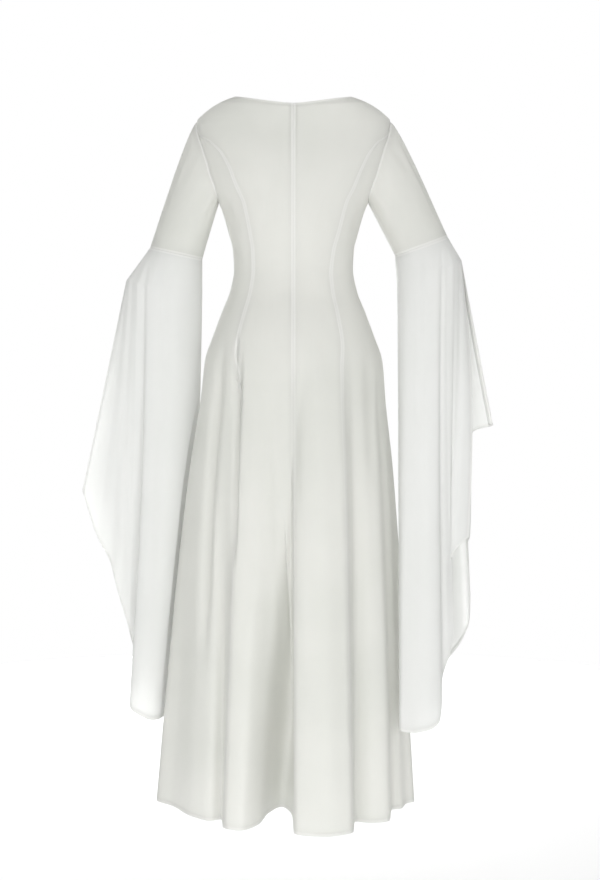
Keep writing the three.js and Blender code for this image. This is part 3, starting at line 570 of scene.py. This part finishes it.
def edge_depth(away):
    """How far an edge turns in, where it rolls over and where the turned-in cloth lies behind it."""
    return np.where(away < 0, ROLL + LAYER, ROLL * (1 - np.clip(away / ROLL_WIDTH, 0, 1)) ** 2)


def turned_rows(away, edge):
    """The rows that an edge's turned-in cloth lies behind, if there is such an edge."""
    middle = np.median(away, axis=1)
    return [int(np.argmin(np.abs(middle - turned))) for turned in TURNED] if edge else []


def column_places(length, spacing):
    """Places of a piece's columns along each row, and their signed distances to its two edges.

    Distances are negative on the turned-in cloth, and the scale says how narrow each row's edges are."""
    scale = np.minimum(1, length / NARROW)
    inner = EDGE_PLACES[-1]
    count = max(4, int(round((length.max() - 2 * inner) / spacing)))
    columns = [
        (abs(away) * scale, np.full_like(length, away), length + FAR) for away in EDGE_PLACES
    ]
    for share in np.linspace(0, 1, count + 1)[1:-1]:
        place = inner * scale + share * (length - 2 * inner * scale)
        beyond = (1 - scale) * FAR
        columns.append((place, place + beyond, length - place + beyond))
    columns += [
        (length - abs(away) * scale, length + FAR, np.full_like(length, away))
        for away in reversed(EDGE_PLACES)
    ]
    return scale, *(np.stack(each, axis=1) for each in zip(*columns))


def cloth_piece(name, surface, rows, spacing, edges, flip, dent):
    """A grid of cloth on a surface, its edges rolled over and turned in.

    surface(share, row) gives points in millimetres, rows run from the top to the bottom, edges says whether
    each edge is a seam, a hem or None, and dent gives how far the creases push the cloth in."""
    rows = np.asarray(rows, float)
    dense = np.linspace(0, 1, MEASURED_PLACES)
    run = path_length(np.diff(surface(dense[None, :], rows[:, None]), axis=1), 1)
    scale, places, starts, ends = column_places(run[:, -1], spacing)
    columns = np.stack([np.interp(places[r], run[r], dense) for r in range(len(rows))])
    row_grid = np.broadcast_to(rows[:, None], columns.shape)
    point = surface(columns, row_grid)
    low, high = np.clip(columns - WIDTH_PROBE, 0, 1), np.clip(columns + WIDTH_PROBE, 0, 1)
    across = surface(high, row_grid) - surface(low, row_grid)
    step = LENGTH_PROBE * (rows[-1] - rows[0])
    up, down = np.clip(row_grid - step, rows[0], rows[-1]), np.clip(row_grid + step, rows[0], rows[-1])
    along = surface(columns, down) - surface(columns, up)
    normal = np.cross(across, along) * (-1 if flip else 1)
    size = np.linalg.norm(normal, axis=2, keepdims=True)
    tiny = size[..., 0] < TINY
    normal = np.where(size > TINY, normal / np.maximum(size, TINY), 0)
    for r in np.nonzero(tiny.any(axis=1))[0]:
        beside = r + 1 if r + 1 < len(rows) else r - 1
        normal[r][tiny[r]] = normal[beside][tiny[r]]
    fall = path_length(np.diff(point, axis=0), 0)
    tops, bottoms = fall, fall[-1] - fall
    above, below = turned_rows(tops, edges["top"])[::-1], turned_rows(bottoms, edges["bottom"])
    order = np.array(above + list(range(len(rows))) + below)
    side = np.array([-1] * len(above) + [0] * len(rows) + [1] * len(below))[:, None]
    point, normal, starts, ends = point[order], normal[order], starts[order], ends[order]
    tops = np.where(side == -1, -tops[order], tops[order])
    bottoms = np.where(side == 1, -bottoms[order], bottoms[order])
    depth = (edge_depth(starts) + edge_depth(ends)) * scale[order][:, None]
    for edge, away in (("top", tops), ("bottom", bottoms)):
        if edges[edge]:
            depth = depth + edge_depth(away)
    depth = depth + dent(point, columns[order], row_grid[order])
    point = (point - normal * depth[..., None]) / 1000
    away = {"start": starts, "end": ends, "top": tops, "bottom": bottoms}
    flat = np.stack([places[order], -fall[order]], axis=-1) / 1000
    return grid_object(name, point, flat, {edge: (edges[edge], away[edge]) for edge in away}, flip)


def grid_object(name, point, flat, edges, flip):
    """The object of a grid of points, with the flat cloth as its UV map and how far its edges are."""
    count, width = point.shape[:2]
    index = np.arange(count * width).reshape(count, width)
    corners = [index[:-1, :-1], index[:-1, 1:], index[1:, 1:], index[1:, :-1]]
    faces = np.stack(corners if not flip else corners[::-1], axis=-1).reshape(-1, 4)
    mesh = bpy.data.meshes.new(name)
    mesh.from_pydata(point.reshape(-1, 3).tolist(), [], faces.tolist())
    for label in ("seam", "hem"):
        near = np.full((count, width), UNMARKED)
        for kind, away in edges.values():
            if kind == label:
                near = np.minimum(near, np.abs(away))
        layer = mesh.attributes.new(label, "FLOAT", "POINT")
        layer.data.foreach_set("value", near.ravel().astype(np.float32))
    loops = np.empty(len(mesh.loops), dtype=np.int32)
    mesh.loops.foreach_get("vertex_index", loops)
    layer = mesh.uv_layers.new(name="cloth")
    layer.data.foreach_set("uv", flat.reshape(-1, 2)[loops].ravel())
    piece = bpy.data.objects.new(name, mesh)
    bpy.context.scene.collection.objects.link(piece)
    return piece


# Distance of a panel's rows in millimetres
ROW_STEP = 8


def mix_steps(start, end, count):
    return [mix(start, end, k / count) for k in range(1, count + 1)]


def panel_rows(first):
    """Row numbers of a panel, close together at the neck and the hem and 8 mm apart between them."""
    neck = [0, 0.015, 0.04, 0.075, 0.12, 0.18, 0.25, 0.33, 0.42, 0.52, 0.65, 0.8, 1]
    rows = neck if first == 0 else [first]
    for k in range(int(rows[-1]), LAST_ROW):
        drop = ROWS[k].princess - ROWS[k + 1].princess
        rows += mix_steps(k, k + 1, max(3, round(drop / ROW_STEP)))
    lowest = ROWS[-2].princess - HEM
    return rows[:-1] + [LAST_ROW - away / lowest for away in (7, 5.5, 4, 3, 2, 1.2, 0.5, 0)]


SLEEVE_ROWS = [0, 0.002, 0.006, 0.012, 0.02, 0.03, 0.045] + mix_steps(0.045, 0.955, 62) + [
    0.968, 0.978, 0.986, 0.992, 0.996, 0.9985, 1]
DRAPE_ROWS = [-1, -0.99, -0.975, -0.95, -0.92, -0.88] + mix_steps(-0.88, 0, 12) + mix_steps(
    0, 0.988, 104) + [0.991, 0.9935, 0.9955, 0.997, 0.9983, 0.9993, 1]

# Millimetres between the columns of a panel, a sleeve and a drape for each metre of the spacing
PANEL_SPACING = 1000
SLEEVE_SPACING = 700
DRAPE_SPACING = 900

# The cut of each piece: the most that it is wide and long flat, and its flat area, in metres
Cut = namedtuple("Cut", "width length area rests")
PANELS = {
    "center_back_left": ["back left"],
    "side_back_left": ["side back left"],
    "side_front_left": ["side front left"],
    "center_front": ["front left", "front right"],
    "side_front_right": ["side front right"],
    "side_back_right": ["side back right"],
    "center_back_right": ["back right"],
}


class Number:
    """A number socket of a material, on which Python's operators add Math nodes."""

    def __init__(self, finish, socket):
        self.finish = finish
        self.socket = socket

    def math(self, operation, *values):
        node = self.finish.node("ShaderNodeMath", {"operation": operation}, dict(enumerate(values)))
        return Number(self.finish, node.outputs[0])

    def __add__(self, other):
        return self.math("ADD", self, other)

    def __sub__(self, other):
        return self.math("SUBTRACT", self, other)

    def __mul__(self, other):
        return self.math("MULTIPLY", self, other)

    def fraction(self):
        return self.math("FRACT", self)

    def smooth(self, low, high, to_low=0.0, to_high=1.0):
        """The number's soft way from one value to another as it goes from low to high."""
        node = self.finish.node(
            "ShaderNodeMapRange", {"interpolation_type": "SMOOTHSTEP"},
            {"Value": self, "From Min": low, "From Max": high, "To Min": to_low, "To Max": to_high},
        )
        return Number(self.finish, node.outputs[0])


class Finish:
    """A material that is built node by node."""

    def __init__(self, name):
        self.material = bpy.data.materials.new(name)
        self.material.use_nodes = True
        self.tree = self.material.node_tree
        self.shader = self.tree.nodes["Principled BSDF"]

    def node(self, kind, settings=None, sockets=None):
        """Adds a node, sets its settings and then its sockets, each a value or a link."""
        node = self.tree.nodes.new(kind)
        for label, value in (settings or {}).items():
            setattr(node, label, value)
        for label, value in (sockets or {}).items():
            self.feed(node.inputs[label], value)
        return node

    def feed(self, socket, value):
        if isinstance(value, Number):
            value = value.socket
        if isinstance(value, bpy.types.NodeSocket):
            self.tree.links.new(value, socket)
        else:
            socket.default_value = value

    def number(self, node, output=0):
        return Number(self, node.outputs[output])

    def attribute(self, label):
        return self.number(self.node("ShaderNodeAttribute", {"attribute_name": label}), "Fac")

    def speckle(self, vector, scale, detail=2.0, roughness=0.5):
        """Noise from 0 to 1 on a vector of metres, scale being its grains in a metre."""
        sockets = {"Vector": vector, "Scale": scale, "Detail": detail, "Roughness": roughness}
        return self.number(self.node("ShaderNodeTexNoise", sockets=sockets), "Fac")

    def stretched(self, vector, across, along):
        """A vector whose pattern is drawn out along the cloth's threads."""
        settings = {"vector_type": "VECTOR"}
        sockets = {"Vector": vector, "Scale": (across, along, 1)}
        return self.node("ShaderNodeMapping", settings, sockets).outputs[0]

    def blend(self, share, first, second):
        """The colour that goes from the first to the second with a share."""
        node = self.node("ShaderNodeMix", {"data_type": "RGBA", "clamp_factor": True})
        self.feed(node.inputs[0], share)
        self.feed(node.inputs[6], first)
        self.feed(node.inputs[7], second)
        return node.outputs[2]


# Grains of each pattern of the cloth in a metre, and its stitches in a metre of hem
THREADS = 2400
PEBBLES = 1300
SLUBS = 420
CLOUDS = 5
STITCHES = 330

# Heights in metres between which the seam allowances fade, and the soft ends of what shows near a seam or
# hem, in millimetres from it: the allowance, the painted shade along a seam's groove, the turned hem and
# its stitches
HIP_FADE = (-0.62, -0.46)
ALLOWANCE_END = (3.4, 4.8)
SEAM_SHADE_END = (0.2, 0.9)
HEM_END = (5.6, 6.6)
STITCH_START = (4.9, 5.3)
STITCH_END = (5.6, 6.0)


def crepe(name, cloth, shade, colours):
    """Matte off-white crepe: a fine pebbled grain over crossing threads, paler over the turned-in cloth,
    with painted shade along the seams and in the hem's stitch dents.
    """
    finish = Finish(name)
    flat = finish.node("ShaderNodeUVMap", {"uv_map": "cloth"}).outputs[0]
    place = finish.node("ShaderNodeTexCoord").outputs["Object"]
    seam, hem = finish.attribute("seam"), finish.attribute("hem")
    warp = finish.speckle(finish.stretched(flat, 1, 0.12), THREADS, 1)
    weft = finish.speckle(finish.stretched(flat, 0.12, 1), THREADS, 1)
    grain = finish.speckle(flat, PEBBLES, 2)
    slub = finish.speckle(finish.stretched(flat, 1, 0.04), SLUBS, 2)
    cloud = finish.speckle(place, CLOUDS, 3)
    level = finish.number(finish.node("ShaderNodeSeparateXYZ", sockets={0: place}), 2)
    above_hips = level.smooth(*HIP_FADE)
    allowance = seam.smooth(*ALLOWANCE_END, 1, 0) * (above_hips * 0.7 + 0.3)
    painted_seam_shade = seam.smooth(*SEAM_SHADE_END, 1, 0)
    turned = hem.smooth(*HEM_END, 1, 0)
    along = finish.node("ShaderNodeSeparateXYZ", sockets={0: flat})
    dash = ((finish.number(along, 0) + finish.number(along, 1)) * STITCHES).fraction().smooth(0.25, 0.4)
    stitch = hem.smooth(*STITCH_START) * hem.smooth(*STITCH_END, 1, 0) * dash
    base = finish.blend(cloud.smooth(0.3, 0.7), tuple(shade), tuple(cloth))
    base = finish.blend((slub.smooth(0.45, 0.8) + grain * 0.4) * 0.3, base, tuple(shade))
    base = finish.blend(allowance * 0.7 + turned * 0.5, base, tuple(colours.layered))
    # Painted shade: a grey darkens the seam's groove and the dents of the hem's stitches
    base = finish.blend(painted_seam_shade * 0.1 + stitch * 0.3, base, tuple(colours.seam_groove_shade))
    finish.feed(finish.shader.inputs["Base Color"], base)
    finish.feed(finish.shader.inputs["Roughness"], grain.smooth(0.2, 0.8, 0.62, 0.74))
    finish.shader.inputs["Sheen Weight"].default_value = 0.6
    finish.shader.inputs["Sheen Roughness"].default_value = 0.5
    finish.shader.inputs["Specular IOR Level"].default_value = 0.35
    relief = (warp + weft) * 0.00002 + grain * 0.00004
    relief = relief + turned * 0.0002 + allowance * 0.00012 - stitch * 0.00025
    bump = finish.node("ShaderNodeBump", sockets={"Strength": 0.8, "Distance": 1.0, "Height": relief})
    finish.feed(finish.shader.inputs["Normal"], bump.outputs[0])
    through = finish.node("ShaderNodeBsdfTranslucent", sockets={"Color": base, "Normal": bump.outputs[0]})
    shaders = {0: 0.5, 1: finish.shader.outputs[0], 2: through.outputs[0]}
    both = finish.node("ShaderNodeMixShader", sockets=shaders)
    finish.feed(finish.tree.nodes["Material Output"].inputs["Surface"], both.outputs[0])
    return finish.material


def crepe_material(context, node):
    """The cloth of a piece: the same crepe, with painted light on the drapes, whose tones are painted
    paler, as in the photo, standing in for light that passes through the single cloth.
    """
    colours = context.scene.dress_colours
    # Painted light: the drapes take their own paler tones, which stand in for light through the single
    # cloth
    if "drape" in node:
        name, cloth, shade = "drape_crepe", colours.drape, colours.lit_drape_shade
    else:
        name, cloth, shade = "body_crepe", colours.cloth, colours.cloth_shade
    return bpy.data.materials.get(name) or crepe(name, cloth, shade, colours)


def thin_shell(context, piece, node):
    """Gives a grid its thickness, cloth and place in the frame."""
    bpy.ops.object.select_all(action="DESELECT")
    context.view_layer.objects.active = piece
    piece.select_set(True)
    bpy.ops.object.mode_set(mode="EDIT")
    bpy.ops.mesh.select_all(action="SELECT")
    bpy.ops.mesh.remove_doubles(threshold=1e-6)
    bpy.ops.object.mode_set(mode="OBJECT")
    shell = piece.modifiers.new("thickness", "SOLIDIFY")
    shell.thickness = context.scene.dress_sizes.thickness
    shell.offset = -1
    bpy.ops.object.modifier_apply(modifier=shell.name)
    bpy.ops.object.shade_smooth()
    piece.data.materials.append(crepe_material(context, node))
    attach(piece, "root")
    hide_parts(node)
    return piece


class DressSizes(bpy.types.PropertyGroup):
    """Sizes that a user would change."""

    thickness: bpy.props.FloatProperty(
        name="Cloth thickness", description="Thickness of the crepe", default=0.0005, min=0.0002, max=0.002,
        unit="LENGTH", precision=4)
    spacing: bpy.props.FloatProperty(
        name="Spacing", description="Distance between the columns of a piece's grid", default=0.007,
        min=0.003, max=0.03, unit="LENGTH", precision=3)
    creasing: bpy.props.FloatProperty(
        name="Creasing", description="Depth of the small creases, 1 as worn in the photo", default=1.0,
        min=0.0, max=2.0, subtype="FACTOR")
    floor_drop: bpy.props.FloatProperty(
        name="Floor below the hem", description="How far the hem hangs above the floor", default=0.28,
        min=0.0, max=0.5, unit="LENGTH")


def colour_property(name, description, default):
    return bpy.props.FloatVectorProperty(
        name=name, description=description, subtype="COLOR", size=4, default=default, min=0, max=1)


class DressColours(bpy.types.PropertyGroup):
    """Colours of the cloth and the studio."""

    cloth: colour_property("Cloth", "Off-white of the crepe", (0.88, 0.88, 0.855, 1))
    cloth_shade: colour_property("Cloth shade", "Darker tone between the threads", (0.84, 0.845, 0.815, 1))
    # Painted light: the drapes' two tones are painted paler than the body's, standing in for light that
    # passes through the single cloth
    drape: colour_property("Drape", "Off-white of the cloth that hangs single", (0.89, 0.893, 0.883, 1))
    lit_drape_shade: colour_property(
        "Drape shade", "Darker tone between the drapes' threads", (0.87, 0.876, 0.862, 1))
    layered: colour_property(
        "Layered cloth", "Paler tone where the cloth is turned in behind itself", (0.98, 0.98, 0.965, 1))
    # Painted shade for the seam's groove, also laid on the hem's stitch dents
    seam_groove_shade: colour_property("Seam line", "Shade in the groove of a seam", (0.60, 0.605, 0.58, 1))
    floor: colour_property("Floor", "Plain pale floor", (0.93, 0.93, 0.93, 1))


def crease_dent(context, face):
    creasing = context.scene.dress_sizes.creasing

    def dent(point, share, row):
        return creasing * (crease_depth(point, face) + slow_waves(point, WAVE_SIZE, BODY_WAVE))
    return dent


class DRESS_OT_panels(bpy.types.Operator):
    """Cuts the seven full-length panels of the bodice and skirt"""

    bl_idname = "dress.panels"
    bl_label = "Bodice and skirt panels"

    def execute(self, context):
        spacing = context.scene.dress_sizes.spacing * PANEL_SPACING
        for node, names in PANELS.items():
            halves = [HALVES[name] for name in names]
            first = 0 if halves[0].kind == "middle" else SPLIT_ROW

            def surface(share, row, halves=halves):
                share, row = np.broadcast_arrays(np.asarray(share, float), np.asarray(row, float))
                part = share * len(halves)
                backwards = [(half.face == "back") == (half.sign < 0) for half in halves]
                lines = []
                for k, half in enumerate(halves):
                    t = np.clip(part - k, 0, 1)
                    lines.append(panel_point(half, 1 - t if backwards[k] else t, row))
                if len(lines) == 1:
                    return lines[0]
                return np.where((part <= 1)[..., None], lines[0], lines[1])

            edges = {"start": "seam", "end": "seam", "top": "hem" if first == 0 else None, "bottom": "hem"}
            dent = crease_dent(context, halves[0].face)
            piece = cloth_piece(f"cloth_{node}", surface, panel_rows(first), spacing, edges, False, dent)
            thin_shell(context, piece, node)
        return {"FINISHED"}


def sleeve_piece(context, node, sleeve, place, points, ripples, wave, rows, spacing, edges):
    """Makes one piece of a sleeve, place being its place round the sleeve at a share of its width."""
    sizes = context.scene.dress_sizes

    def surface(share, step):
        return points(sleeve, place(np.asarray(share, float)), step)

    def dent(point, share, step):
        depth = ripple_depth(ripples, sleeve.side, place(share), step)
        return sizes.creasing * (depth + slow_waves(point, WAVE_SIZE, wave))

    name, flip = f"{node}_{sleeve.side}", sleeve.sign > 0
    piece = cloth_piece(f"cloth_{name}", surface, rows, sizes.spacing * spacing, edges, flip, dent)
    thin_shell(context, piece, name)


class DRESS_OT_upper_sleeves(bpy.types.Operator):
    """Sews the fitted sleeves from the armholes to the elbows"""

    bl_idname = "dress.upper_sleeves"
    bl_label = "Upper sleeves"

    def execute(self, context):
        edges = dict.fromkeys(("start", "end", "top", "bottom"), "seam")
        for sleeve in SLEEVES:
            sleeve_piece(
                context, "upper_sleeve", sleeve, hole_place, upper_sleeve_point, SLEEVE_RIPPLES,
                BODY_WAVE, SLEEVE_ROWS, SLEEVE_SPACING, edges)
        return {"FINISHED"}


class DRESS_OT_drapes(bpy.types.Operator):
    """Hangs the long split drapes from the elbow seams"""

    bl_idname = "dress.drapes"
    bl_label = "Sleeve drapes"

    def execute(self, context):
        edges = {"start": "hem", "end": "hem", "top": "seam", "bottom": "hem"}
        for sleeve in SLEEVES:
            last = len(DRAPES[sleeve.side]) - 1
            sleeve_piece(
                context, "sleeve_drape", sleeve, lambda share, last=last: last * share, drape_point,
                DRAPE_RIPPLES, DRAPE_WAVE, DRAPE_ROWS, DRAPE_SPACING, edges)
        return {"FINISHED"}


# Soft disks of light, with where each hangs and the point that it faces
Light = namedtuple("Light", "name energy size place target")
LIGHTS = [Light(*row) for row in (
    ("key_softbox", 20, 2.0, (-2.0, 3.2, -0.4), (0, 0, -0.9)),
    ("fill_softbox", 31, 2.4, (1.5, 3.2, -1.1), (0, 0, -1.0)),
    ("low_softbox", 9, 0.9, (0.3, 2.2, -1.5), (0.06, 0, -1.1)),
    ("side_softbox", 4, 1.0, (-1.1, 2.4, -1.0), (-0.2, 0, -1.0)),
    ("front_softbox", 16, 0.8, (0.12, 3.3, -1.25), (0.04, 0, -1.1)),
    ("back_softbox", 70, 2.6, (0.5, -2.6, -0.2), (0, 0, -0.7)),
    ("top_softbox", 24, 2.4, (-0.2, 0.4, 2.4), (0, 0, -0.4)),
)]
ROOM_LIGHT = 0.5
FLOOR_RADIUS = 2.6

# The camera's place in metres, its distance and the picture's height in pixels of the photo, the film's
# height in millimetres and how far the picture is shifted, in heights
CAMERA_PLACE = (-0.013, 3.4, -0.34)
CAMERA_PIXELS = 1700
PHOTO_HEIGHT = 880
FILM = 36
CAMERA_SHIFT = -0.1875


def area_light(light):
    bpy.ops.object.light_add(type="AREA", location=light.place)
    lamp = bpy.context.object
    lamp.name = light.name
    lamp.data.energy = light.energy
    lamp.data.shape = "DISK"
    lamp.data.size = light.size
    lamp.rotation_euler = (Vector(light.target) - Vector(light.place)).to_track_quat("-Z", "Y").to_euler()


class DRESS_OT_studio(bpy.types.Operator):
    """Sets up the pale floor, the soft lights and the camera at the photo's place"""

    bl_idname = "dress.studio"
    bl_label = "Studio"

    def execute(self, context):
        bpy.ops.object.select_all(action="DESELECT")
        drop = HEM / 1000 - context.scene.dress_sizes.floor_drop
        bpy.ops.mesh.primitive_circle_add(
            vertices=96, radius=FLOOR_RADIUS, fill_type="NGON", location=(0, 0, drop))
        floor = context.object
        floor.name = "studio_floor"
        finish = Finish("studio_paper")
        place = finish.node("ShaderNodeTexCoord").outputs["Object"]
        tone = finish.speckle(place, 3, 2).smooth(0.3, 0.7)
        pale = tuple(context.scene.dress_colours.floor)
        mottled = finish.blend(tone * 0.05, pale, (0.85, 0.85, 0.85, 1))
        finish.feed(finish.shader.inputs["Base Color"], mottled)
        finish.shader.inputs["Roughness"].default_value = 0.9
        floor.data.materials.append(finish.material)
        world = bpy.data.worlds.new("studio_light")
        world.use_nodes = True
        nodes, links = world.node_tree.nodes, world.node_tree.links
        paper, room = nodes["Background"], nodes.new("ShaderNodeBackground")
        paper.inputs["Color"].default_value = (1, 1, 1, 1)
        room.inputs["Color"].default_value = (1, 1, 1, 1)
        room.inputs["Strength"].default_value = ROOM_LIGHT
        ray, both = nodes.new("ShaderNodeLightPath"), nodes.new("ShaderNodeMixShader")
        links.new(ray.outputs["Is Camera Ray"], both.inputs[0])
        links.new(room.outputs[0], both.inputs[1])
        links.new(paper.outputs[0], both.inputs[2])
        links.new(both.outputs[0], nodes["World Output"].inputs["Surface"])
        context.scene.world = world
        for light in LIGHTS:
            area_light(light)
        context.scene.view_settings.view_transform = "Standard"
        level_from_behind = (math.radians(90), 0, math.radians(180))
        bpy.ops.object.camera_add(location=CAMERA_PLACE, rotation=level_from_behind)
        camera = context.object
        camera.name = "photo_camera"
        camera.data.lens = CAMERA_PIXELS / PHOTO_HEIGHT * FILM
        camera.data.sensor_width = FILM
        camera.data.shift_y = CAMERA_SHIFT
        context.scene.camera = camera
        return {"FINISHED"}


OPERATORS = (DRESS_OT_studio, DRESS_OT_panels, DRESS_OT_upper_sleeves, DRESS_OT_drapes)


class DRESS_PT_pieces(bpy.types.Panel):
    """Lists the pieces, sizes and colours of the dress."""

    bl_label = "Medieval wedding dress"
    bl_space_type = "VIEW_3D"
    bl_region_type = "UI"
    bl_category = "Dress"

    def draw(self, context):
        for group in (context.scene.dress_sizes, context.scene.dress_colours):
            for label in group.__annotations__:
                self.layout.prop(group, label)
        for operator in OPERATORS:
            self.layout.operator(operator.bl_idname)


CLASSES = (DressSizes, DressColours) + OPERATORS + (DRESS_PT_pieces,)


def register():
    for each in CLASSES:
        bpy.utils.register_class(each)
    bpy.types.Scene.dress_sizes = bpy.props.PointerProperty(type=DressSizes)
    bpy.types.Scene.dress_colours = bpy.props.PointerProperty(type=DressColours)


def unregister():
    del bpy.types.Scene.dress_sizes
    del bpy.types.Scene.dress_colours
    for each in reversed(CLASSES):
        bpy.utils.unregister_class(each)


def main():
    register()
    bpy.ops.dress.studio()
    bpy.ops.dress.panels()
    bpy.ops.dress.upper_sleeves()
    bpy.ops.dress.drapes()


if __name__ == "__main__":
    main()
